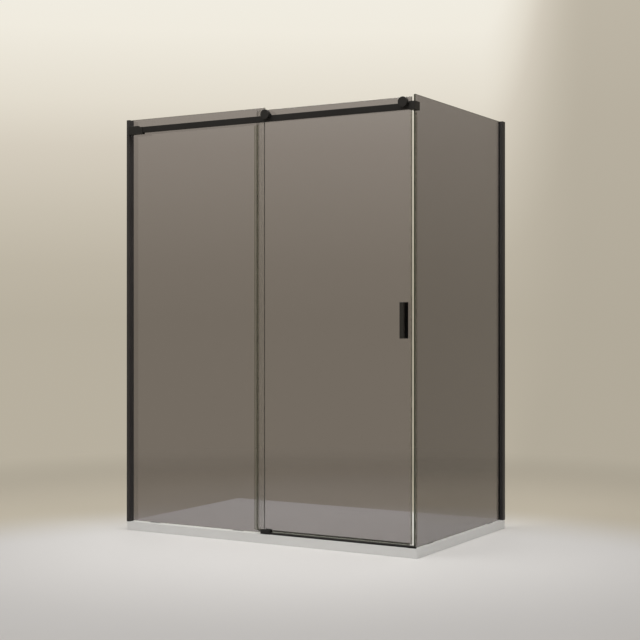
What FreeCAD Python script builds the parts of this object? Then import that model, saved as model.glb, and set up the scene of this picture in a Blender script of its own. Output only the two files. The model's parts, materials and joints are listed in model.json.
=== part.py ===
"""Corner shower enclosure: tray, fixed panel, side panel and a sliding door hung from a top rail.

Millimetres, +Z up. The origin is the centre of the tray's underside, X runs along the front from the
jamb to the corner, and Y runs from the front to the back wall. The door is modelled shut.
"""

import FreeCAD
import Part
import os

# ---------------------------------------------------------------- driving sizes
# tray
tray_length = 1600.0
tray_width = 1000.0
tray_height = 42.0
tray_rim = 70.0
tray_fall = 6.0
tray_corner_radius = 6.0
waste_bore_radius = 45.0
waste_pocket_side = 124.0
waste_floor_thickness = 20.0
waste_from_back = 130.0
waste_cover_thickness = 6.0
waste_cover_clearance = 2.0
waste_foot_radius = 5.0
waste_foot_inset = 10.0

# glass
glass_thickness = 8.0
glass_top = 2032.0
glass_arris = 0.8
glass_lift = 1.5
fixed_glass_face = 34.0
fixed_glass_right = 790.0
fixed_glass_rise = 4.0
side_glass_face = 16.0
side_glass_front = 18.0
door_glass_face = 16.0
door_overlap = 33.0
door_closing_gap = 10.0
door_bottom_lift = 14.0
door_top_drop = 10.0
setting_block_length = 60.0
setting_block_inset = 120.0

# wall profiles
profile_wall = 3.0
jamb_depth = 17.0
jamb_back_lip = 10.0
side_profile_depth = 31.0
glazing_gap = 2.0
glass_to_profile_base = 3.0
wall_hole_radius = 3.2
wall_hole_inset_outer = 200.0
wall_hole_inset_inner = 750.0
cap_depth = 12.0
cap_clearance = 0.2

# rail
rail_depth = 15.0
rail_height = 28.0
rail_front = -3.0
rail_drop = 68.0
rail_wall = 3.0
groove_depth = 8.0
block_wall = 3.0
block_side_wall = 6.5
fit_clearance = 0.2
bracket_length = 84.0
bracket_hood_length = 54.0
bracket_end_wall = 6.0
bracket_screw_setback = 8.0
bracket_screw_head_radius = 4.0
rail_end_gap = 5.0
corner_block_overhang = 12.0
corner_outer_cheek = 10.0
corner_inner_cheek = 8.0
corner_cheek_depth = 24.0
corner_end_wall = 6.0
corner_floor_wall = 3.0
clamp_bolt_setback = 14.0
clamp_thread_depth = 7.0

# rollers
wheel_radius = 11.7
wheel_width = 8.0
wheel_rolling_gap = 0.3
wheel_rim_radius = 1.0
bearing_radius = 6.5
bearing_width = 6.0
bearing_running_gap = 0.05
axle_radius = 3.0
axle_flange_radius = 9.0
axle_flange_thickness = 2.3
axle_grip = 7.0
cover_radius = 23.0
cover_thickness = 17.0
cover_gap = 1.0
cover_edge_radius = 1.5
roller_inset_rear = 67.0
roller_inset_front = 27.0
inner_cap_radius = 11.0
inner_cap_thickness = 5.0
gasket_thickness = 1.0
glass_hole_radius = 7.0
bush_gap = 0.2
end_stop_length = 12.0
door_travel = 680.0

# fasteners
screw_radius = 2.5
screw_head_radius = 4.5
screw_head_height = 2.5
bolt_radius = 3.0
bolt_head_radius = 5.0
bolt_head_height = 3.5

# handle
handle_length = 160.0
handle_width = 21.0
handle_centre_height = 1040.0
handle_to_door_edge = 21.0
handle_bar_depth = 12.0
handle_stem_depth = 22.0
handle_stem_step = 2.5
handle_plate_depth = 4.0
handle_screw_spacing = 100.0
handle_hole_radius = 5.0
handle_edge_radius = 1.5

# seals
seal_wall = 1.0
seal_grip = 10.0
bottom_seal_grip = 7.0
bottom_fin_width = 2.0
seal_gap = 0.3
rear_fin_reach = 24.0
bulb_width = 6.0
strike_seal_grip = 18.0
seal_top_below_rail = 9.0

# threshold, guide and end block
threshold_height = 9.0
threshold_depth = 20.0
threshold_front = 11.0
threshold_chamfer = 2.0
guide_length = 51.0
guide_front_lip = 7.5
guide_front_lip_height = 18.0
guide_back_leg_height = 24.0
guide_back_leg_step = 18.0
guide_back_leg = 7.5
guide_floor = 4.0
guide_slot_gap = 0.5
guide_before_fixed_edge = 6.0
end_block_length = 24.7
end_block_wall = 6.5
end_block_height = 9.0
end_block_nose = 14.0
tray_screw_depth = 8.0
guide_screw_inset = 10.0

# ---------------------------------------------------------------- places worked out from the sizes
left = -tray_length / 2
right = tray_length / 2
front = -tray_width / 2
back = tray_width / 2

fixed_front = front + fixed_glass_face
fixed_back = fixed_front + glass_thickness
fixed_right = left + fixed_glass_right
side_outer = right - side_glass_face
side_inner = side_outer - glass_thickness
side_front = front + side_glass_front
door_front = front + door_glass_face
door_back = door_front + glass_thickness
door_left = fixed_right - door_overlap
door_right = side_inner - door_closing_gap
door_bottom = tray_height + door_bottom_lift
door_top = glass_top - door_top_drop
glass_bottom = tray_height + glass_lift

rail_bottom = glass_top - rail_drop
rail_y0 = front + rail_front
rail_y1 = rail_y0 + rail_depth
rail_top = rail_bottom + rail_height
rail_mid_z = rail_bottom + rail_height / 2
groove_y0 = rail_y0 + rail_wall
groove_y1 = rail_y1 - rail_wall
groove_mid_y = (groove_y0 + groove_y1) / 2
groove_floor = rail_top - groove_depth

block_y0 = rail_y0 - block_wall
block_y1 = rail_y1 + block_wall
block_z0 = rail_bottom - block_side_wall
block_z1 = rail_top + block_side_wall
bracket_x0 = left + jamb_depth
bracket_x1 = bracket_x0 + bracket_length
bracket_screw_y = front + bracket_screw_setback
corner_x0 = side_inner - corner_block_overhang
corner_x1 = side_outer + corner_outer_cheek
corner_z0 = rail_bottom - corner_floor_wall
corner_cheek_back = side_front + corner_cheek_depth
rail_x0 = bracket_x0 + bracket_end_wall + rail_end_gap
rail_x1 = corner_x1 - corner_end_wall

axle_z = groove_floor + wheel_rolling_gap + wheel_radius
cover_y1 = rail_y0 - cover_gap
cover_y0 = cover_y1 - cover_thickness
inner_cap_y0 = door_back + gasket_thickness
rear_roller_x = door_left + roller_inset_rear
front_roller_x = door_right - roller_inset_front
roller_places = {"rear": rear_roller_x, "front": front_roller_x}

handle_x1 = door_right - handle_to_door_edge
handle_x0 = handle_x1 - handle_width
handle_mid_x = (handle_x0 + handle_x1) / 2
handle_z0 = handle_centre_height - handle_length / 2
handle_z1 = handle_centre_height + handle_length / 2
stem_y1 = door_front - gasket_thickness
stem_y0 = stem_y1 - handle_stem_depth
handle_plate_y0 = door_back + gasket_thickness
handle_plate_y1 = handle_plate_y0 + handle_plate_depth
handle_screw_heights = [handle_centre_height + side * handle_screw_spacing / 2 for side in (-1, 1)]

slot_half = glass_thickness / 2 + seal_wall + guide_slot_gap
slot_mid = (door_front + door_back) / 2
slot_y0 = slot_mid - slot_half
slot_y1 = slot_mid + slot_half
guide_x0 = fixed_right - guide_before_fixed_edge
guide_x1 = guide_x0 + guide_length
guide_floor_z = tray_height + guide_floor
end_block_x1 = side_inner - seal_gap
end_block_x0 = end_block_x1 - end_block_length
end_block_top = tray_height + end_block_height
threshold_top = tray_height + threshold_height
seal_top = rail_bottom - seal_top_below_rail
strike_seal_z0 = end_block_top + seal_gap

waste_y = back - waste_from_back
waste_floor_z = tray_height - tray_fall

X = FreeCAD.Vector(1, 0, 0)
Y = FreeCAD.Vector(0, 1, 0)
Z = FreeCAD.Vector(0, 0, 1)


# ---------------------------------------------------------------- helpers
def box(x, y, z):
    """Block between the given (low, high) pairs."""
    corner = FreeCAD.Vector(x[0], y[0], z[0])
    return Part.makeBox(x[1] - x[0], y[1] - y[0], z[1] - z[0], corner)


def rod(radius, start, direction, length):
    """Cylinder from a start point along a direction."""
    return Part.makeCylinder(radius, length, FreeCAD.Vector(*start), direction)


def ring(outer, inner, start, direction, length):
    """Tube from a start point along a direction."""
    return rod(outer, start, direction, length).cut(rod(inner, start, direction, length))


def extrude_z(points, z0, z1):
    """Upright prism of a plan outline given as (x, y) points."""
    corners = [FreeCAD.Vector(x, y, z0) for x, y in points]
    face = Part.Face(Part.makePolygon(corners + corners[:1]))
    return face.extrude(Z * (z1 - z0))


def extrude_x(points, x0, x1):
    """Prism along X of an end outline given as (y, z) points."""
    corners = [FreeCAD.Vector(x0, y, z) for y, z in points]
    face = Part.Face(Part.makePolygon(corners + corners[:1]))
    return face.extrude(X * (x1 - x0))


def upright_edges(shape):
    """Edges that run along Z."""
    return [e for e in shape.Edges if abs(e.tangentAt(e.FirstParameter).z) > 0.99]


def save(node, *solids):
    """Write one node: a single solid, or a group of separate solids."""
    shape = solids[0] if len(solids) == 1 else Part.makeCompound(list(solids))
    shape.exportStep(f"parts/{node}.step")


def countersunk(tip, direction, length):
    """Flat-headed screw from its tip to its head's face, with a cone under the head."""
    tip = FreeCAD.Vector(*tip)
    neck = tip + direction * (length - screw_head_height)
    shank = Part.makeCylinder(screw_radius, length - screw_head_height, tip, direction)
    head = Part.makeCone(screw_radius, screw_head_radius, screw_head_height, neck, direction)
    return shank.fuse(head)


# ---------------------------------------------------------------- tray
def waste_square(half, z0, z1):
    return box((-half, half), (waste_y - half, waste_y + half), (z0, z1))


def tray_screw_places():
    """Where the guide and the end block are screwed down."""
    guide = [guide_x0 + guide_screw_inset, guide_x1 - guide_screw_inset]
    block = [end_block_x0 + end_block_length / 2]
    return [(x, slot_mid) for x in guide + block]


def make_tray():
    slab = box((left, right), (front, back), (0, tray_height))
    slab = slab.makeFillet(tray_corner_radius, upright_edges(slab))
    half = waste_pocket_side / 2
    rim = [
        (left + tray_rim, front + tray_rim),
        (right - tray_rim, front + tray_rim),
        (right - tray_rim, back - tray_rim / 2),
        (left + tray_rim, back - tray_rim / 2),
    ]
    low = [
        (-half, waste_y - half),
        (half, waste_y - half),
        (half, waste_y + half),
        (-half, waste_y + half),
    ]
    wires = []
    for outline, z in ((rim, tray_height), (low, waste_floor_z)):
        corners = [FreeCAD.Vector(x, y, z) for x, y in outline]
        wires.append(Part.makePolygon(corners + corners[:1]))
    fall = Part.makeLoft(wires, True, True)
    pocket = waste_square(half, waste_floor_thickness, waste_floor_z)
    bore = rod(waste_bore_radius, (0, waste_y, 0), Z, tray_height)
    holes = [
        rod(screw_radius, (x, y, tray_height - tray_screw_depth), Z, tray_screw_depth)
        for x, y in tray_screw_places()
    ]
    save("shower_tray", slab.cut([fall, pocket, bore] + holes))


def make_waste_cover():
    half = waste_pocket_side / 2 - waste_cover_clearance
    cover = waste_square(half, waste_floor_z - waste_cover_thickness, waste_floor_z)
    cover = cover.makeFillet(waste_cover_clearance, upright_edges(cover))
    foot_height = waste_floor_z - waste_cover_thickness - waste_floor_thickness
    reach = half - waste_foot_inset
    feet = [
        rod(waste_foot_radius, (sx * reach, waste_y + sy * reach, waste_floor_thickness), Z, foot_height)
        for sx in (-1, 1)
        for sy in (-1, 1)
    ]
    save("waste_cover", cover.fuse(feet))


# ---------------------------------------------------------------- wall profiles
def profile_outline(depth, channel, far_lip):
    """Plan of a wall profile: u runs out of the wall, v across it from the outer face.

    A channel for the wall screws comes first, then the slot that the glass is glazed into.
    The slot's far lip has its own reach.
    """
    w = profile_wall
    slot0 = w + channel + w
    slot1 = slot0 + glazing_gap + glass_thickness + glazing_gap
    width = slot1 + w
    return [
        (0, 0),
        (depth, 0),
        (depth, w),
        (w, w),
        (w, w + channel),
        (depth, w + channel),
        (depth, slot0),
        (w, slot0),
        (w, slot1),
        (far_lip, slot1),
        (far_lip, width),
        (0, width),
    ]


def wall_hole_heights():
    """Two pairs of wall screws, mirrored about the middle of the profile."""
    insets = (wall_hole_inset_outer, wall_hole_inset_inner)
    low = [tray_height + inset for inset in insets]
    return low + [glass_top - inset for inset in insets]


jamb_channel = fixed_glass_face - glazing_gap - 2 * profile_wall
side_channel = side_glass_face - glazing_gap - 2 * profile_wall


def make_wall_jamb():
    points = [(left + u, front + v) for u, v in profile_outline(jamb_depth, jamb_channel, jamb_back_lip)]
    jamb = extrude_z(points, tray_height, glass_top)
    hole_y = front + profile_wall + jamb_channel / 2
    holes = [rod(wall_hole_radius, (left, hole_y, z), X, profile_wall) for z in wall_hole_heights()]
    holes += [
        rod(screw_radius, (left, bracket_screw_y, z), X, profile_wall)
        for z in bracket_screw_heights()
    ]
    save("wall_jamb", jamb.cut(holes))

    strip_y = (front + profile_wall, front + profile_wall + jamb_channel)
    strip_x = (left + jamb_depth - profile_wall, left + jamb_depth)
    strip = box(strip_x, strip_y, (tray_height, glass_top))
    strip_holes = [
        rod(screw_radius + bush_gap, (strip_x[0], bracket_screw_y, z), X, profile_wall)
        for z in bracket_screw_heights()
    ]
    save("jamb_cover_strip", strip.cut(strip_holes))

    cap_x = (left + profile_wall + cap_clearance, strip_x[0] - cap_clearance)
    cap_y = (strip_y[0] + cap_clearance, strip_y[1] - cap_clearance)
    save("jamb_cap", box(cap_x, cap_y, (glass_top - cap_depth, glass_top)))

    gaskets = []
    for y, reach in ((fixed_front - glazing_gap, jamb_depth), (fixed_back, jamb_back_lip)):
        gasket_x = (left + profile_wall + glass_to_profile_base, left + reach)
        gaskets.append(box(gasket_x, (y, y + glazing_gap), (glass_bottom, glass_top)))
    save("jamb_gaskets", *gaskets)


def make_side_profile():
    outline = profile_outline(side_profile_depth, side_channel, side_profile_depth)
    points = [(right - v, back - u) for u, v in outline]
    profile = extrude_z(points, tray_height, glass_top)
    hole_x = right - profile_wall - side_channel / 2
    holes = [
        rod(wall_hole_radius, (hole_x, back - profile_wall, z), Y, profile_wall)
        for z in wall_hole_heights()
    ]
    save("side_wall_profile", profile.cut(holes))

    strip_x = (right - profile_wall - side_channel, right - profile_wall)
    strip_y = (back - side_profile_depth, back - side_profile_depth + profile_wall)
    save("side_cover_strip", box(strip_x, strip_y, (tray_height, glass_top)))

    cap_x = (strip_x[0] + cap_clearance, strip_x[1] - cap_clearance)
    cap_y = (strip_y[1] + cap_clearance, back - profile_wall - cap_clearance)
    save("side_profile_cap", box(cap_x, cap_y, (glass_top - cap_depth, glass_top)))

    gasket_y = (back - side_profile_depth, back - profile_wall - glass_to_profile_base)
    gaskets = [
        box((x, x + glazing_gap), gasket_y, (glass_bottom, glass_top))
        for x in (side_inner - glazing_gap, side_outer)
    ]
    save("side_gaskets", *gaskets)


# ---------------------------------------------------------------- glass
def pane(x, y, z):
    """Toughened pane with its sharp edges taken off."""
    sheet = box(x, y, z)
    return sheet.makeChamfer(glass_arris, sheet.Edges)


def make_fixed_glass():
    x = (left + profile_wall + glass_to_profile_base, fixed_right)
    z = (glass_bottom, glass_top + fixed_glass_rise)
    save("fixed_glass", pane(x, (fixed_front, fixed_back), z))


def make_side_glass():
    y = (side_front, back - profile_wall - glass_to_profile_base)
    sheet = pane((side_inner, side_outer), y, (glass_bottom, glass_top))
    hole = rod(glass_hole_radius, (side_inner, clamp_bolt_y(), rail_mid_z), X, glass_thickness)
    save("side_glass", sheet.cut(hole))


def make_setting_blocks():
    """Pads that carry the two standing panes on the tray."""
    low = (tray_height, glass_bottom)
    reach = setting_block_length
    fixed_x0 = left + setting_block_inset
    fixed_x1 = fixed_right - setting_block_inset
    side_y0 = side_front + setting_block_inset
    side_y1 = back - setting_block_inset
    save(
        "setting_blocks",
        box((fixed_x0, fixed_x0 + reach), (fixed_front, fixed_back), low),
        box((fixed_x1 - reach, fixed_x1), (fixed_front, fixed_back), low),
        box((side_inner, side_outer), (side_y0, side_y0 + reach), low),
        box((side_inner, side_outer), (side_y1 - reach, side_y1), low),
    )


def make_door_glass():
    sheet = pane((door_left, door_right), (door_front, door_back), (door_bottom, door_top))
    holes = [
        rod(glass_hole_radius, (x, door_front, axle_z), Y, glass_thickness)
        for x in roller_places.values()
    ]
    holes += [
        rod(handle_hole_radius, (handle_mid_x, door_front, z), Y, glass_thickness)
        for z in handle_screw_heights
    ]
    save("door_glass", sheet.cut(holes))


# ---------------------------------------------------------------- rail and its two ends
def bracket_screw_heights():
    return [rail_mid_z - rail_height / 4, rail_mid_z + rail_height / 4]


def clamp_bolt_y():
    return side_front + clamp_bolt_setback


def set_screw_places():
    """Where the set screws enter the bracket and the corner block from below."""
    bracket_x = bracket_x0 + bracket_length / 2
    corner_x = (side_inner + side_outer) / 2
    return [(bracket_x, groove_mid_y, block_z0), (corner_x, groove_mid_y, corner_z0)]


def rail_socket(x0, x1):
    """Space that the rail's end slides into, with its clearance."""
    c = fit_clearance
    return box((x0, x1), (rail_y0 - c, rail_y1 + c), (rail_bottom - c, rail_top + c))


def set_screw_hole(place):
    return rod(screw_radius, place, Z, rail_bottom - place[2])


def make_top_rail():
    bar = box((rail_x0, rail_x1), (rail_y0, rail_y1), (rail_bottom, rail_top))
    groove = box((rail_x0, rail_x1), (groove_y0, groove_y1), (groove_floor, rail_top))
    chamber_z = (rail_bottom + rail_wall, groove_floor - rail_wall)
    chamber = box((rail_x0, rail_x1), (groove_y0, groove_y1), chamber_z)
    save("top_rail", bar.cut([groove, chamber]))


def make_wall_bracket():
    body = box((bracket_x0, bracket_x1), (block_y0, block_y1), (block_z0, block_z1))
    body = body.makeChamfer(glass_arris, [e for e in body.Edges if e.BoundBox.YMax < block_y0 + 0.1])
    socket = rail_socket(bracket_x0 + bracket_end_wall, bracket_x1)
    open_x = (bracket_x0 + bracket_hood_length, bracket_x1)
    open_top = box(open_x, (block_y0, block_y1), (rail_top, block_z1))
    holes = [
        rod(screw_radius + bush_gap, (bracket_x0, bracket_screw_y, z), X, bracket_end_wall)
        for z in bracket_screw_heights()
    ]
    set_screw = set_screw_hole(set_screw_places()[0])
    save("rail_wall_bracket", body.cut([socket, open_top, set_screw] + holes))

    head_x = bracket_x0 + bracket_end_wall
    screws = []
    for z in bracket_screw_heights():
        shank = rod(screw_radius, (left, bracket_screw_y, z), X, head_x - left)
        head = rod(bracket_screw_head_radius, (head_x, bracket_screw_y, z), X, screw_head_height)
        screws.append(shank.fuse(head))
    save("bracket_screws", *screws)


def make_corner_block():
    inner_x0 = side_inner - corner_inner_cheek
    pad = gasket_thickness
    body = box((inner_x0, corner_x1), (block_y0, corner_cheek_back), (corner_z0, block_z1))
    body = body.fuse(box((corner_x0, inner_x0), (block_y0, block_y1), (corner_z0, block_z1)))
    glass_slot = box(
        (side_inner - pad, side_outer + pad),
        (side_front - pad, corner_cheek_back),
        (corner_z0, block_z1),
    )
    socket = rail_socket(corner_x0, rail_x1)
    y = clamp_bolt_y()
    clear_hole = rod(bolt_radius + bush_gap, (inner_x0, y, rail_mid_z), X, corner_inner_cheek)
    thread = rod(bolt_radius, (side_outer, y, rail_mid_z), X, clamp_thread_depth + pad)
    cuts = [glass_slot, socket, clear_hole, thread, set_screw_hole(set_screw_places()[1])]
    save("rail_corner_block", body.removeSplitter().cut(cuts))

    shank_length = side_outer + pad + clamp_thread_depth - inner_x0
    shank = rod(bolt_radius, (inner_x0, y, rail_mid_z), X, shank_length)
    head = rod(bolt_head_radius, (inner_x0 - bolt_head_height, y, rail_mid_z), X, bolt_head_height)
    save("corner_clamp_bolt", shank.fuse(head))

    bush = ring(
        glass_hole_radius - bush_gap,
        bolt_radius + bush_gap,
        (side_inner, y, rail_mid_z),
        X,
        glass_thickness,
    )
    save("corner_glass_bush", bush)

    pads = []
    for x in (side_inner - pad, side_outer):
        sheet = box((x, x + pad), (side_front, corner_cheek_back), (corner_z0, block_z1))
        pads.append(sheet.cut(rod(bolt_radius + bush_gap, (x, y, rail_mid_z), X, pad)))
    save("corner_glass_pads", *pads)


def make_set_screws():
    screws = []
    for x, y, z in set_screw_places():
        screws.append(rod(screw_radius, (x, y, z + bush_gap), Z, rail_bottom - z - bush_gap))
    save("rail_set_screws", *screws)


def make_end_stops():
    """Buffers in the rail's groove that the wheels run up against."""
    y = (groove_y0 + fit_clearance, groove_y1 - fit_clearance)
    z = (groove_floor, rail_top - wheel_rolling_gap)
    open_x = rear_roller_x - door_travel - wheel_radius - wheel_rolling_gap
    shut_x = front_roller_x + wheel_radius + wheel_rolling_gap
    save(
        "rail_end_stops",
        box((open_x - end_stop_length, open_x), y, z),
        box((shut_x, shut_x + end_stop_length), y, z),
    )


# ---------------------------------------------------------------- rollers
def make_roller(place):
    x = roller_places[place]
    cover = rod(cover_radius, (x, cover_y0, axle_z), Y, cover_thickness)
    rim = [e for e in cover.Edges if e.BoundBox.YMax < cover_y0 + 0.1 and e.BoundBox.XLength > cover_radius]
    cover = cover.makeFillet(cover_edge_radius, rim)
    cover = cover.cut(rod(axle_radius, (x, cover_y1 - axle_grip, axle_z), Y, axle_grip))
    save(f"roller_cover_{place}", cover)

    axle_y0 = cover_y1 - axle_grip
    axle_y1 = inner_cap_y0 + inner_cap_thickness - axle_radius / 2
    flange_y1 = door_front - gasket_thickness
    axle = rod(axle_radius, (x, axle_y0, axle_z), Y, axle_y1 - axle_y0)
    flange_y0 = flange_y1 - axle_flange_thickness
    axle = axle.fuse(rod(axle_flange_radius, (x, flange_y0, axle_z), Y, axle_flange_thickness))
    save(f"roller_axle_{place}", axle)

    wheel_y0 = groove_mid_y - wheel_width / 2
    wheel = rod(wheel_radius, (x, wheel_y0, axle_z), Y, wheel_width)
    wheel = wheel.makeFillet(wheel_rim_radius, [e for e in wheel.Edges if e.BoundBox.YLength < 0.1])
    wheel = wheel.cut(rod(bearing_radius, (x, wheel_y0, axle_z), Y, wheel_width))
    save(f"roller_wheel_{place}", wheel)

    bearing_y0 = groove_mid_y - bearing_width / 2
    bore = axle_radius + bearing_running_gap
    bearing = ring(bearing_radius, bore, (x, bearing_y0, axle_z), Y, bearing_width)
    save(f"roller_bearing_{place}", bearing)

    cap = rod(inner_cap_radius, (x, inner_cap_y0, axle_z), Y, inner_cap_thickness)
    cap = cap.cut(rod(axle_radius, (x, inner_cap_y0, axle_z), Y, axle_y1 - inner_cap_y0))
    save(f"roller_inner_cap_{place}", cap)


def make_roller_fittings():
    """Soft washers on both faces of the door's glass, and the bushes in its holes."""
    hole = axle_radius + bush_gap
    washers = []
    bushes = []
    for x in roller_places.values():
        for y in (door_front - gasket_thickness, door_back):
            washers.append(ring(inner_cap_radius, hole, (x, y, axle_z), Y, gasket_thickness))
        outer = glass_hole_radius - bush_gap
        bushes.append(ring(outer, hole, (x, door_front, axle_z), Y, glass_thickness))
    save("roller_washers", *washers)
    save("roller_glass_bushes", *bushes)


# ---------------------------------------------------------------- handle
def make_handle():
    bar = box((handle_x0, handle_x1), (stem_y0 - handle_bar_depth, stem_y0), (handle_z0, handle_z1))
    nose = [e for e in bar.Edges if e.BoundBox.YMax < stem_y0 - handle_bar_depth + 0.1]
    bar = bar.makeFillet(handle_edge_radius, nose)
    stem_x = (handle_x0 + handle_stem_step, handle_x1 - handle_stem_step)
    stem_z = (handle_z0 + handle_stem_step, handle_z1 - handle_stem_step)
    grip = bar.fuse(box(stem_x, (stem_y0, stem_y1), stem_z))
    threads = [
        rod(screw_radius, (handle_mid_x, stem_y0, z), Y, handle_stem_depth)
        for z in handle_screw_heights
    ]
    save("handle_grip", grip.cut(threads))

    plate = box((handle_x0, handle_x1), (handle_plate_y0, handle_plate_y1), (handle_z0, handle_z1))
    screws = []
    bushes = []
    gaskets = []
    for z in handle_screw_heights:
        tip = (handle_mid_x, stem_y0 + screw_radius, z)
        screws.append(countersunk(tip, Y, handle_plate_y1 - tip[1]))
        start = (handle_mid_x, door_front, z)
        outer = handle_hole_radius - bush_gap
        bushes.append(ring(outer, screw_radius + bush_gap, start, Y, glass_thickness))
    save("handle_inner_plate", plate.cut(screws))
    save("handle_screws", *screws)
    save("handle_glass_bushes", *bushes)

    plate_x = (handle_x0, handle_x1)
    plate_z = (handle_z0, handle_z1)
    for x, z, y in ((stem_x, stem_z, stem_y1), (plate_x, plate_z, door_back)):
        pad = box(x, (y, y + gasket_thickness), z)
        hole = screw_radius + bush_gap
        holes = [rod(hole, (handle_mid_x, y, h), Y, gasket_thickness) for h in handle_screw_heights]
        gaskets.append(pad.cut(holes))
    save("handle_gaskets", *gaskets)


# ---------------------------------------------------------------- seals
def make_rear_seal():
    """Strip on the door's rear edge, with a fin that wipes along the fixed panel."""
    y0 = door_front - seal_wall
    y1 = door_back + seal_wall
    tip = (door_left - rear_fin_reach, fixed_front - seal_gap)
    points = [
        (door_left + seal_grip, y0),
        (door_left + seal_grip, door_front),
        (door_left, door_front),
        (door_left, door_back),
        (door_left + seal_grip, door_back),
        (door_left + seal_grip, y1),
        (door_left, y1),
        tip,
        (tip[0], tip[1] - seal_wall),
        (door_left - seal_wall, door_back - seal_wall),
        (door_left - seal_wall, y0),
    ]
    save("rear_seal", extrude_z(points, door_bottom, seal_top))


def make_closing_seal():
    """Strip on the door's leading edge, with a bulb that meets the side panel."""
    legs_x0 = door_right - seal_grip
    z = (door_bottom, seal_top)
    channel = box(
        (legs_x0, door_right + seal_wall),
        (door_front - seal_wall, door_back + seal_wall),
        z,
    )
    channel = channel.cut(box((legs_x0, door_right), (door_front, door_back), z))
    bulb_x1 = side_inner - seal_wall - seal_gap
    bulb_y = (slot_mid - bulb_width / 2, slot_mid + bulb_width / 2)
    bulb = box((door_right + seal_wall, bulb_x1), bulb_y, z)
    nose = [e for e in upright_edges(bulb) if e.BoundBox.XMin > bulb_x1 - 0.1]
    bulb = bulb.makeFillet(bulb_width / 3, nose)
    save("closing_seal", channel.fuse(bulb))


def make_bottom_seal():
    """Strip along the door's foot, with a fin that clears the threshold."""
    end_gap = seal_grip + seal_gap
    y0 = door_front - seal_wall
    y1 = door_back + seal_wall
    grip_z = door_bottom + bottom_seal_grip
    web_z = door_bottom - seal_wall
    fin_z = threshold_top + seal_gap
    half = bottom_fin_width / 2
    points = [
        (y0, grip_z),
        (door_front, grip_z),
        (door_front, door_bottom),
        (door_back, door_bottom),
        (door_back, grip_z),
        (y1, grip_z),
        (y1, web_z),
        (slot_mid + half, web_z),
        (slot_mid + half, fin_z),
        (slot_mid - half, fin_z),
        (slot_mid - half, web_z),
        (y0, web_z),
    ]
    save("bottom_seal", extrude_x(points, door_left + end_gap, door_right - end_gap))


def make_strike_seal():
    """Strip on the side panel's front edge that the door closes against."""
    z = (strike_seal_z0, seal_top)
    y = (side_front - seal_wall, side_front + strike_seal_grip)
    cover = box((side_inner - seal_wall, side_outer + seal_wall), y, z)
    edge = box((side_inner, side_outer), (side_front, y[1]), z)
    save("strike_seal", cover.cut(edge))


# ---------------------------------------------------------------- threshold and guides
def make_threshold():
    y0 = front + threshold_front
    y1 = y0 + threshold_depth
    points = [
        (y0, tray_height),
        (y1, tray_height),
        (y1, threshold_top),
        (y0 + threshold_chamfer, threshold_top),
        (y0, threshold_top - threshold_chamfer),
    ]
    save("threshold_strip", extrude_x(points, guide_x1, end_block_x0))


def tray_screw(place):
    x, y = place
    length = tray_screw_depth + guide_floor
    return countersunk((x, y, tray_height - tray_screw_depth), Z, length)


def make_floor_guide():
    """U-shaped block beside the fixed panel's foot that the door's lower edge runs through."""
    low_z = tray_height + guide_front_lip_height
    high_z = tray_height + guide_back_leg_height
    x = (guide_x0, guide_x1)
    base = box(x, (slot_y0, slot_y1), (tray_height, guide_floor_z))
    lip = box(x, (slot_y0 - guide_front_lip, slot_y0), (tray_height, low_z))
    leg = box(x, (slot_y1, slot_y1 + guide_back_leg), (tray_height, low_z))
    tall_x = (guide_x0 + guide_back_leg_step, guide_x1)
    tall = box(tall_x, (slot_y1, slot_y1 + guide_back_leg), (low_z, high_z))
    screws = [tray_screw(place) for place in tray_screw_places()[:2]]
    save("floor_guide", base.fuse([lip, leg, tall]).removeSplitter().cut(screws))


def make_end_block():
    """Block that closes the threshold at the corner, with a nose in front of the side panel's foot."""
    y0 = slot_y0 - end_block_wall
    z = (tray_height, end_block_top)
    body = box((end_block_x0, end_block_x1), (y0, slot_y1 + end_block_wall), z)
    nose = box((end_block_x1, side_inner + end_block_nose), (y0, side_front - seal_wall), z)
    x, y = tray_screw_places()[2]
    sink = rod(screw_head_radius + bush_gap, (x, y, guide_floor_z), Z, end_block_top - guide_floor_z)
    block = body.fuse(nose).removeSplitter()
    save("threshold_end_block", block.cut([sink, tray_screw((x, y))]))


def make_tray_screws():
    save("tray_screws", *[tray_screw(place) for place in tray_screw_places()])


# ---------------------------------------------------------------- build
os.makedirs("parts", exist_ok=True)
make_tray()
make_waste_cover()
make_wall_jamb()
make_side_profile()
make_fixed_glass()
make_side_glass()
make_setting_blocks()
make_door_glass()
make_top_rail()
make_wall_bracket()
make_corner_block()
make_set_screws()
make_end_stops()
for side in roller_places:
    make_roller(side)
make_roller_fittings()
make_handle()
make_rear_seal()
make_closing_seal()
make_bottom_seal()
make_strike_seal()
make_threshold()
make_floor_guide()
make_end_block()
make_tray_screws()
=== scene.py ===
"""Looks for the corner shower enclosure: materials, softened edges, floor, backdrop, light and camera.

Metres, in the CAD frame: origin at the centre of the tray's underside, +X along the front, +Y to the back.
"""

import json
import math

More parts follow.
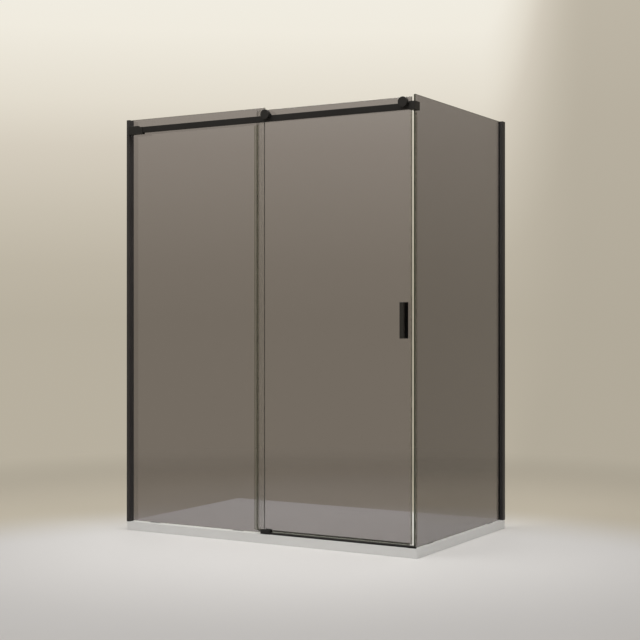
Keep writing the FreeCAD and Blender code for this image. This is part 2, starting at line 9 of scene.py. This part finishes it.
import bmesh
import bpy
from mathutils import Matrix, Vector


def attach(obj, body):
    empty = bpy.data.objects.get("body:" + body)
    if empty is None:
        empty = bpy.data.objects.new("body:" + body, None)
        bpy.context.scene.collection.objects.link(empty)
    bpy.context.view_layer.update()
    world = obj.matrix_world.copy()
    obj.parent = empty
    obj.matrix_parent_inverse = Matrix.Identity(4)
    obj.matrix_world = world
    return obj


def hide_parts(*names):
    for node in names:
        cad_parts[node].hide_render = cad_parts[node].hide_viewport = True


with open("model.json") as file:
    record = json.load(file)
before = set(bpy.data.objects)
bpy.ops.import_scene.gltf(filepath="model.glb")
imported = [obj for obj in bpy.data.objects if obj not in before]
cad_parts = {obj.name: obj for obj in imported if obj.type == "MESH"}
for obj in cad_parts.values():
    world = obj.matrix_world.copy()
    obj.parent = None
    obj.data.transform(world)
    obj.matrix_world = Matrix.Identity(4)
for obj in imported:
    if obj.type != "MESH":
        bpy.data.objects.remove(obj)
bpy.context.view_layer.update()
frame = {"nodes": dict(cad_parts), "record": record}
nodes = frame["nodes"]
record = frame["record"]
body_of = {n: body for body, names in record["behaviour"]["bodies"].items() for n in names}
slot_of = {part["node"]: part["material_slot"] for part in record["subparts"]}

MM = 0.001
X, Y, Z = range(3)


def span(node, axis):
    """Lowest and highest place of a CAD node along an axis, with the door shut."""
    places = [vert.co[axis] for vert in nodes[node].data.vertices]
    return min(places), max(places)


# ---------------------------------------------------------------- places on the object
DOOR_LEFT = span("door_glass", X)[0]
DOOR_BACK = span("door_glass", Y)[1]
DOOR_LOW, DOOR_HIGH = span("door_glass", Z)
FADE_LEFT = 14 * MM
FADE_RIGHT = 12 * MM
REAR_LIP = DOOR_LEFT - 20 * MM
STRIKE_LIP = DOOR_BACK + 3 * MM
# From this place back, the handle's stem is painted darker, as painted shade under the bar.
HANDLE_STEM = span("handle_grip", Y)[0] + 12.5 * MM

# ---------------------------------------------------------------- colours of glass and seals
GLASS_INDEX = 1.5
GLASS_LIGHT = (0.6, 0.6, 0.59)
FRONT_TINT = (0.333, 0.313, 0.318)
SIDE_TINT = (0.254, 0.238, 0.24)
CLEAR_TINT = (0.97, 0.975, 0.955)
DOOR_EDGE = (0.42, 0.44, 0.37)
FIXED_EDGE = (0.78, 0.8, 0.72)
SIDE_EDGE = (0.075, 0.083, 0.05)
VINYL_CLEAR = (0.996, 0.997, 0.985)
VINYL_SMOKY = (0.9, 0.905, 0.875)
VINYL_GREY = (0.66, 0.665, 0.64)
REAR_LIP_TINT = (0.78, 0.79, 0.73)
STRIKE_LIP_TINT = (0.86, 0.85, 0.82)
VINYL_SHEEN = (0.3, 0.3, 0.28)
SHEEN_SHARE = 0.16


# ---------------------------------------------------------------- material helpers
class Nodes:
    """The node tree of a material or of the world, with short calls to add and join nodes."""

    NOISE_LOW = 0.3
    NOISE_HIGH = 0.7

    def __init__(self, owner, output="ShaderNodeOutputMaterial"):
        self.owner = owner
        owner.use_nodes = True
        self.tree = owner.node_tree
        self.tree.nodes.clear()
        self.output = self.add(output)

    def add(self, kind, **values):
        node = self.tree.nodes.new(kind)
        for key, value in values.items():
            setattr(node, key, value)
        return node

    def join(self, out, socket):
        self.tree.links.new(out, socket)

    def shader(self, color, roughness, **values):
        node = self.add("ShaderNodeBsdfPrincipled")
        node.inputs["Base Color"].default_value = (*color, 1)
        node.inputs["Roughness"].default_value = roughness
        for key, value in values.items():
            node.inputs[key.replace("_", " ")].default_value = value
        return node

    def transparent(self, color):
        node = self.add("ShaderNodeBsdfTransparent")
        node.inputs["Color"].default_value = (*color, 1)
        return node.outputs["BSDF"]

    def place(self, kind="Object"):
        """The object's own coordinates or its Normal, or as Generated a direction in the world."""
        return self.add("ShaderNodeTexCoord").outputs[kind]

    def along(self, axis, vector=None):
        """One coordinate of a vector, or else of the object's own place."""
        split = self.add("ShaderNodeSeparateXYZ")
        self.join(vector or self.place(), split.inputs["Vector"])
        return split.outputs[axis]

    def noise(self, scale, detail=2.0, stretch=(1, 1, 1)):
        """Noise over the object's own coordinates, in cycles per metre."""
        mapping = self.add("ShaderNodeMapping")
        mapping.inputs["Scale"].default_value = stretch
        noise = self.add("ShaderNodeTexNoise")
        noise.inputs["Scale"].default_value = scale
        noise.inputs["Detail"].default_value = detail
        self.join(self.place(), mapping.inputs["Vector"])
        self.join(mapping.outputs["Vector"], noise.inputs["Vector"])
        return noise.outputs["Fac"]

    def calc(self, operation, *values):
        """A sum or comparison of numbers and other nodes' values."""
        node = self.add("ShaderNodeMath", operation=operation)
        for socket, value in zip(node.inputs, values):
            if isinstance(value, float):
                socket.default_value = value
            else:
                self.join(value, socket)
        return node.outputs[0]

    def vector(self, operation, vector, other=(0, 0, 0)):
        """A node that works on a vector and a second, fixed one."""
        node = self.add("ShaderNodeVectorMath", operation=operation)
        node.inputs[1].default_value = other
        self.join(vector, node.inputs[0])
        return node

    def mapped(self, value, start, end, low, high, **values):
        """The value from start to end, spread over low to high."""
        node = self.add("ShaderNodeMapRange", **values)
        limits = {"From Min": start, "From Max": end, "To Min": low, "To Max": high}
        for name, limit in limits.items():
            node.inputs[name].default_value = limit
        self.join(value, node.inputs["Value"])
        return node.outputs["Result"]

    def ranged(self, noise, low, high):
        """The middle of a noise's range, spread over low to high."""
        return self.mapped(noise, self.NOISE_LOW, self.NOISE_HIGH, low, high)

    def eased(self, value, start, end, low=0.0, high=1.0):
        """The value from start to end, as a smooth step from low to high."""
        return self.mapped(value, start, end, low, high, interpolation_type="SMOOTHSTEP")

    def beyond(self, axis, limit):
        """1 where the object's own coordinate is past the limit, else 0."""
        return self.calc("GREATER_THAN", self.along(axis), limit)

    def shades(self, value, dark, light):
        """Colour between two by the value; dark may be another node's colour."""
        node = self.add("ShaderNodeMix", data_type="RGBA")
        ends = [socket for socket in node.inputs if socket.type == "RGBA"]
        for socket, color in zip(ends, (dark, light)):
            if isinstance(color, tuple):
                socket.default_value = (*color, 1)
            else:
                self.join(color, socket)
        self.join(value, node.inputs["Factor"])
        return next(socket for socket in node.outputs if socket.type == "RGBA")

    def bump(self, height, strength, distance):
        node = self.add("ShaderNodeBump")
        node.inputs["Strength"].default_value = strength
        node.inputs["Distance"].default_value = distance
        self.join(height, node.inputs["Height"])
        return node.outputs["Normal"]

    def mixed(self, value, first, second):
        """First shader at 0, second at 1."""
        node = self.add("ShaderNodeMixShader")
        for socket, out in zip(node.inputs, (value, first, second)):
            self.join(out, socket)
        return node.outputs[0]

    def done(self, surface):
        self.join(surface, self.output.inputs["Surface"])
        return self.owner


def material_nodes(name):
    return Nodes(bpy.data.materials.new(name))


def coated(n, dark, light, roughness, grain, depth, spread, patch, **values):
    """Coated surface: slow colour drift, a fine grain and a roughness that varies with it."""
    shader = n.shader(light, roughness, **values)
    drift = n.ranged(n.noise(patch, 3), 0, 1)
    fine = n.noise(grain, 3)
    n.join(n.shades(drift, dark, light), shader.inputs["Base Color"])
    n.join(n.ranged(fine, roughness - spread, roughness + spread), shader.inputs["Roughness"])
    n.join(n.bump(fine, 0.35, depth), shader.inputs["Normal"])
    return shader.outputs["BSDF"]


def grained(name, dark, light, roughness, grain, depth, spread=0.06, patch=6.0, **values):
    """Plain coating or plastic."""
    n = material_nodes(name)
    return n.done(coated(n, dark, light, roughness, grain, depth, spread, patch, **values))


def brushed(name, dark, light, stretch):
    """Stainless steel with lines along one axis."""
    n = material_nodes(name)
    shader = n.shader(light, 0.3, Metallic=1.0)
    lines = n.noise(900, 3, stretch)
    n.join(n.shades(n.ranged(lines, 0, 1), dark, light), shader.inputs["Base Color"])
    n.join(n.ranged(lines, 0.22, 0.4), shader.inputs["Roughness"])
    n.join(n.bump(lines, 0.2, 0.03 * MM), shader.inputs["Normal"])
    return n.done(shader.outputs["BSDF"])


def handle_black(name):
    """Satin bar that catches the room at its side, on a stem painted a deeper, duller black: painted shade
    in the groove under the bar.
    """
    n = material_nodes(name)
    dark, light = (0.006, 0.0055, 0.005), (0.009, 0.0085, 0.008)
    bar = coated(n, dark, light, 0.27, 2200, 0.02 * MM, 0.07, 6.0, Specular_IOR_Level=0.5)
    # Painted shade: the stem is painted darker and duller than the bar, for the shade under the bar's
    # overhang.
    stem = n.shader((0.004, 0.004, 0.004), 0.6, Specular_IOR_Level=0.05)
    return n.done(n.mixed(n.beyond(Y, HANDLE_STEM), bar, stem.outputs["BSDF"]))


def lamps_through(n, surface):
    """The surface, with the lamps' light passing straight through: each face takes half of its tint."""
    clear = n.transparent([math.sqrt(share) for share in GLASS_LIGHT])
    shadow = n.add("ShaderNodeLightPath").outputs["Is Shadow Ray"]
    return n.mixed(shadow, surface, clear)


def pane_glass(name, broad, tint, edge_tint, edge_clear=1.0, clear_strip=False):
    """Smoked glass: clear broad faces across the broad axis, and ground edges.

    clear_strip fades the tint out behind the door's left edge.
    """
    n = material_nodes(name)
    face = n.shader(tint, 0.0, Transmission_Weight=1.0, IOR=GLASS_INDEX)
    if clear_strip:
        behind = n.eased(n.along(X), DOOR_LEFT - FADE_LEFT, DOOR_LEFT + FADE_RIGHT)
        within = n.calc("MULTIPLY", n.beyond(Z, DOOR_LOW), n.calc("LESS_THAN", n.along(Z), DOOR_HIGH))
        strip = n.calc("MULTIPLY", behind, within)
        n.join(n.shades(strip, tint, CLEAR_TINT), face.inputs["Base Color"])
    edge = n.shader(edge_tint, 0.2, Transmission_Weight=edge_clear, IOR=GLASS_INDEX)
    streaks = n.noise(700, 2, (1, 1, 0.02))
    n.join(n.ranged(streaks, 0.14, 0.3), edge.inputs["Roughness"])

    facing = n.calc("ABSOLUTE", n.along(broad, n.place("Normal")))
    aside = n.calc("LESS_THAN", facing, 0.9)
    return n.done(lamps_through(n, n.mixed(aside, face.outputs["BSDF"], edge.outputs["BSDF"])))


def clear_film(name, tint):
    """Clear flexible seal: see-through, with a sheen."""
    n = material_nodes(name)
    return n.done(with_sheen(n, n.transparent(tint)))


def lipped_film(name, base_tint, lip_tint, axis, limit, lip_past):
    """Clear flexible seal whose lip, past the limit or else before it, has a darker tint."""
    n = material_nodes(name)
    base = n.transparent(base_tint)
    lip = n.transparent(lip_tint)
    first, second = (base, lip) if lip_past else (lip, base)
    return n.done(with_sheen(n, n.mixed(n.beyond(axis, limit), first, second)))


def with_sheen(n, surface):
    """The surface with a little shine, which grows towards its edges."""
    sheen = n.shader(VINYL_SHEEN, 0.2)
    n.join(n.ranged(n.noise(500, 2, (1, 1, 0.05)), 0.14, 0.28), sheen.inputs["Roughness"])
    facing = n.add("ShaderNodeLayerWeight")
    facing.inputs["Blend"].default_value = 0.3
    share = n.calc("MULTIPLY", facing.outputs["Facing"], SHEEN_SHARE)
    return n.mixed(share, surface, sheen.outputs["BSDF"])


# ---------------------------------------------------------------- materials
DULL = {"Specular_IOR_Level": 0.2}

materials = {
    "black_aluminium": grained(
        "powder_black", (0.0125, 0.0115, 0.0112), (0.0165, 0.0153, 0.015), 0.46, 1400, 0.04 * MM, **DULL
    ),
    "black_metal": grained(
        "satin_black", (0.0165, 0.0155, 0.0148), (0.0225, 0.021, 0.02), 0.42, 2200, 0.02 * MM, **DULL
    ),
    "white_tray": grained(
        "tray_white", (0.815, 0.812, 0.8), (0.845, 0.843, 0.832), 0.34, 900, 0.06 * MM, patch=2.5
    ),
    "black_nylon": grained(
        "nylon_black", (0.011, 0.011, 0.0105), (0.017, 0.016, 0.0155), 0.5, 1800, 0.04 * MM, **DULL
    ),
    "grey_nylon": grained("nylon_grey", (0.4, 0.4, 0.38), (0.5, 0.5, 0.48), 0.45, 1500, 0.04 * MM),
    "black_rubber": grained("rubber_black", (0.012, 0.012, 0.012), (0.02, 0.02, 0.02), 0.7, 1200, 0.06 * MM),
    "steel": brushed("steel_brushed", (0.5, 0.5, 0.49), (0.66, 0.66, 0.65), (1, 0.05, 1)),
}
# Painted light: the wall profiles are the same black aluminium, painted a paler black for the light their
# faces catch.
profile_black_painted_lit = grained(
    "profile_black_painted_lit", (0.037, 0.034, 0.0335), (0.046, 0.0425, 0.042), 0.42, 1400, 0.04 * MM, **DULL
)
profiles = ("wall_jamb", "jamb_cover_strip", "side_wall_profile", "side_cover_strip")
own_materials = {
    **dict.fromkeys(profiles, profile_black_painted_lit),
    "handle_grip": handle_black("handle_black"),
    "door_glass": pane_glass("glass_smoked_front", Y, FRONT_TINT, DOOR_EDGE),
    "fixed_glass": pane_glass("glass_smoked_fixed", Y, FRONT_TINT, FIXED_EDGE, clear_strip=True),
    "side_glass": pane_glass("glass_smoked_side", X, SIDE_TINT, SIDE_EDGE, edge_clear=0.3),
    "rear_seal": lipped_film("vinyl_rear", VINYL_SMOKY, REAR_LIP_TINT, X, REAR_LIP, False),
    "closing_seal": clear_film("vinyl_closing", VINYL_CLEAR),
    "strike_seal": lipped_film("vinyl_strike", VINYL_CLEAR, STRIKE_LIP_TINT, Y, STRIKE_LIP, True),
    "bottom_seal": clear_film("vinyl_bottom", VINYL_GREY),
}


def material_for(node):
    """A piece's own material, or else its slot's."""
    return own_materials.get(node) or materials[slot_of[node]]


for node, obj in nodes.items():
    obj.data.materials.clear()
    obj.data.materials.append(material_for(node))


# ---------------------------------------------------------------- pieces
WELD = 0.002 * MM
FLAT = math.radians(0.4)
SHARPEST = math.radians(30)
STAYS_SHARP = math.radians(45)
SAME_WAY = 0.999
DRAWING_ROUNDS = 40
SOFT_WIDTHS = {
    "shower_tray": 1.6,
    "waste_cover": 0.8,
    "wall_jamb": 0.5,
    "side_wall_profile": 0.5,
    "jamb_cover_strip": 0.2,
    "side_cover_strip": 0.2,
    "top_rail": 0.5,
    "rail_wall_bracket": 0.6,
    "rail_corner_block": 0.8,
    "handle_inner_plate": 0.5,
    "roller_inner_cap_rear": 0.5,
    "roller_inner_cap_front": 0.5,
    "threshold_strip": 0.4,
    "floor_guide": 0.6,
    "threshold_end_block": 0.6,
}
SEALS = ("rear_seal", "closing_seal", "bottom_seal", "strike_seal")
SEAL_SOFT_WIDTH = 0.15
SEAL_GAP = 0.1


def new_piece(name, bm, node):
    """A mesh piece that stands for a CAD node, and rides and is finished as it."""
    mesh = bpy.data.meshes.new(name)
    bm.to_mesh(mesh)
    bm.free()
    mesh.materials.append(material_for(node))
    obj = bpy.data.objects.new(name, mesh)
    bpy.context.scene.collection.objects.link(obj)
    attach(obj, body_of[node])
    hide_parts(node)
    return obj


def draw_in(bm, gap):
    """Moves every face of the mesh inwards by the gap."""
    moves = {}
    for vert in bm.verts:
        normals = []
        for face in vert.link_faces:
            if all(face.normal.dot(other) < SAME_WAY for other in normals):
                normals.append(face.normal.copy())
        move = Vector()
        for _ in range(DRAWING_ROUNDS):
            for normal in normals:
                move -= normal * (gap + normal.dot(move))
        moves[vert] = move
    for vert, move in moves.items():
        vert.co += move


def shade_smoothly(obj):
    """Smooth shading with crisp flat faces, free of the CAD mesh's own normals."""
    custom = obj.data.attributes.get("custom_normal")
    if custom:
        obj.data.attributes.remove(custom)
    obj.data.shade_smooth()
    obj.data.set_sharp_from_angle(angle=STAYS_SHARP)
    weighted = obj.modifiers.new("normals", "WEIGHTED_NORMAL")
    weighted.keep_sharp = True


def soften(node, width, gap=0.0, segments=2):
    """Stands for a CAD node with its sharp edges rounded, so that they catch the light.

    The gap draws the whole piece in a little, so that it doesn't share a face with the glass it touches.
    """
    bm = bmesh.new()
    bm.from_mesh(nodes[node].data)
    for layer in list(bm.loops.layers.uv.values()):
        bm.loops.layers.uv.remove(layer)
    bmesh.ops.remove_doubles(bm, verts=bm.verts, dist=WELD)
    bmesh.ops.dissolve_limit(bm, angle_limit=FLAT, verts=bm.verts, edges=bm.edges)
    if gap:
        draw_in(bm, gap)
    bmesh.ops.bevel(
        bm,
        geom=[e for e in bm.edges if e.is_manifold and e.calc_face_angle(0) > SHARPEST],
        offset=width,
        offset_type="OFFSET",
        segments=segments,
        profile=0.5,
        affect="EDGES",
        clamp_overlap=True,
    )
    shade_smoothly(new_piece(f"{node}_shown", bm, node))


for node, width in SOFT_WIDTHS.items():
    soften(node, width * MM)
for node in SEALS:
    soften(node, SEAL_SOFT_WIDTH * MM, SEAL_GAP * MM, segments=1)


# ---------------------------------------------------------------- camera, floor, backdrop and lamps
CAMERA_PLACE = (3.3686, -5.7361, 1.0451)
CAMERA_TURN = math.radians(30.283)
CAMERA_DIP = math.radians(0.035)
CAMERA_LENS = 75.06
CAMERA_SENSOR = 36.0

FLOOR_RADIUS = 60.0
FLOOR_DROP = 0.2 * MM
# The floor's paler colour near the object is a painted pool of light; it darkens farther out.
FLOOR_POOL_OF_LIGHT = (0.83, 0.816, 0.806)
FLOOR_FAR = (0.59, 0.575, 0.567)
FLOOR_WARM = (0.56, 0.507, 0.41)
# Each is a centre on the floor, and the radii between which the floor changes.
POOL_OF_LIGHT_FROM = ((0.1, 0.0), 0.5, 2.3)
WARM_FROM = ((0.9, -1.7), 1.9, 2.9)
HORIZON_FROM = ((0.0, 0.0), 2.2, 4.2)
BEARINGS_FROM = (1.0, 0.0, 0.0)

# Backdrop's colours, by the height of the sight line.
HORIZON = (0.475, 0.43, 0.345)
BACKDROP = {
    0.0: HORIZON,
    0.04: (0.51, 0.462, 0.374),
    0.08: (0.575, 0.525, 0.432),
    0.126: (0.665, 0.61, 0.515),
    0.16: (0.77, 0.72, 0.62),
    0.21: (0.87, 0.83, 0.735),
    0.25: (0.88, 0.85, 0.765),
}
BACKDROP_TOP = max(BACKDROP)
# Each is a direction, and how near to it the backdrop starts and ends to change.
BEHIND = ((0.6, 0.8, 0.0), 0.8, 0.966)
ASIDE = ((math.cos(CAMERA_TURN), math.sin(CAMERA_TURN), 0.0), 0.115, 0.195)
DIM_BEHIND = 0.65
DIM_ASIDE = 0.93
LOW_ASIDE = 0.27

FILL_COLOR = (1.0, 0.99, 0.97)
FILL_STRENGTH = 0.35
LAMPS = {
    "top": {
        "place": (0.1, -0.6, 4.2),
        "target": (0.0, 0.0, 0.0),
        "size": (3.2, 3.2),
        "power": 136,
        "color": (1.0, 0.99, 0.97),
    },
    "front": {
        "place": (3.6, -4.6, 3.4),
        "target": (0.0, 0.0, 1.0),
        "size": (2.0, 2.0),
        "power": 1.5,
        "color": (1.0, 0.99, 0.98),
    },
    "right": {
        "place": (4.6, 0.2, 2.6),
        "target": (0.0, 0.0, 0.9),
        "size": (2.2, 2.6),
        "power": 2,
        "color": (1.0, 0.985, 0.96),
    },
}


def faded(n, centre, near, far):
    """0 within the near radius of a point on the floor, 1 beyond the far one."""
    distance = n.vector("DISTANCE", n.place(), (*centre, 0))
    return n.eased(distance.outputs["Value"], near, far)


def falling(n, direction, towards, start, end, low):
    """1 away from a direction, easing down to low as the given one comes near it."""
    nearness = n.vector("DOT_PRODUCT", direction, towards)
    return n.eased(nearness.outputs["Value"], start, end, 1.0, low)


def dimming(n, direction):
    """Backdrop's strength: 1 in most directions and less to the right and behind the right-hand side."""
    behind = falling(n, direction, *BEHIND, DIM_BEHIND)
    aside = falling(n, direction, *ASIDE, DIM_ASIDE)
    return n.calc("MULTIPLY", behind, aside)


def floor_material():
    """Pale floor, lamp-lit: painted paler near the object as a painted pool of light, warmer to the back,
    and fading into the backdrop farther off.
    """
    n = material_nodes("floor_pale")
    lit = n.shader(FLOOR_POOL_OF_LIGHT, 0.7, Specular_IOR_Level=0.2)
    # Painted pool of light: paler near the object, darker farther out.
    painted_pool = n.shades(faded(n, *POOL_OF_LIGHT_FROM), FLOOR_POOL_OF_LIGHT, FLOOR_FAR)
    n.join(n.shades(faded(n, *WARM_FROM), painted_pool, FLOOR_WARM), lit.inputs["Base Color"])
    flat = n.add("ShaderNodeEmission")
    flat.inputs["Color"].default_value = (*HORIZON, 1)
    offset = n.vector("SUBTRACT", n.place(), BEARINGS_FROM)
    bearing = n.vector("NORMALIZE", offset.outputs["Vector"])
    n.join(dimming(n, bearing.outputs["Vector"]), flat.inputs["Strength"])
    return n.done(n.mixed(faded(n, *HORIZON_FROM), lit.outputs["BSDF"], flat.outputs["Emission"]))


def make_floor():
    bm = bmesh.new()
    bmesh.ops.create_circle(bm, cap_ends=True, segments=96, radius=FLOOR_RADIUS)
    mesh = bpy.data.meshes.new("floor")
    bm.to_mesh(mesh)
    bm.free()
    mesh.materials.append(floor_material())
    floor = bpy.data.objects.new("floor", mesh)
    floor.location.z = -FLOOR_DROP
    bpy.context.scene.collection.objects.link(floor)


def backdrop_color(n, direction):
    """Backdrop's colour, which grows paler with height, and more slowly to the right."""
    ramp = n.add("ShaderNodeValToRGB")
    stops = ramp.color_ramp.elements
    for at, color in BACKDROP.items():
        if at == 0:
            stop = stops[0]
        elif at == BACKDROP_TOP:
            stop = stops[-1]
        else:
            stop = stops.new(at / BACKDROP_TOP)
        stop.color = (*color, 1)
    height = n.calc("DIVIDE", n.along(Z, direction), BACKDROP_TOP)
    slower = falling(n, direction, *ASIDE, LOW_ASIDE)
    n.join(n.calc("MULTIPLY", height, slower), ramp.inputs["Fac"])
    return ramp.outputs["Color"]


def make_world():
    """The backdrop where it is seen, mirrored or seen through, and a soft even fill elsewhere."""
    world = bpy.data.worlds.new("studio")
    bpy.context.scene.world = world
    n = Nodes(world, "ShaderNodeOutputWorld")
    direction = n.place("Generated")
    seen = n.add("ShaderNodeBackground")
    n.join(backdrop_color(n, direction), seen.inputs["Color"])
    n.join(dimming(n, direction), seen.inputs["Strength"])
    fill = n.add("ShaderNodeBackground")
    fill.inputs["Color"].default_value = (*FILL_COLOR, 1)
    fill.inputs["Strength"].default_value = FILL_STRENGTH
    path = n.add("ShaderNodeLightPath")
    either = n.calc("MAXIMUM", path.outputs["Is Camera Ray"], path.outputs["Is Glossy Ray"])
    any_of = n.calc("MAXIMUM", either, path.outputs["Is Transmission Ray"])
    n.done(n.mixed(any_of, fill.outputs[0], seen.outputs[0]))


def area_light(name, place, target, size, power, color):
    data = bpy.data.lights.new(name, "AREA")
    data.shape = "RECTANGLE"
    data.size, data.size_y = size
    data.energy = power
    data.color = color
    light = bpy.data.objects.new(name, data)
    light.location = place
    aim = Vector(target) - Vector(place)
    light.rotation_euler = aim.to_track_quat("-Z", "Y").to_euler()
    bpy.context.scene.collection.objects.link(light)


def make_camera():
    """Almost level camera at the photograph's place, turned round to the right, at chest height."""
    data = bpy.data.cameras.new("camera")
    data.sensor_width = CAMERA_SENSOR
    data.lens = CAMERA_LENS
    camera = bpy.data.objects.new("camera", data)
    camera.location = CAMERA_PLACE
    camera.rotation_euler = (math.radians(90) - CAMERA_DIP, 0, CAMERA_TURN)
    bpy.context.scene.collection.objects.link(camera)
    bpy.context.scene.camera = camera


make_floor()
make_world()
for name, lamp in LAMPS.items():
    area_light(name, **lamp)
make_camera()
bpy.context.scene.view_settings.view_transform = "Standard"
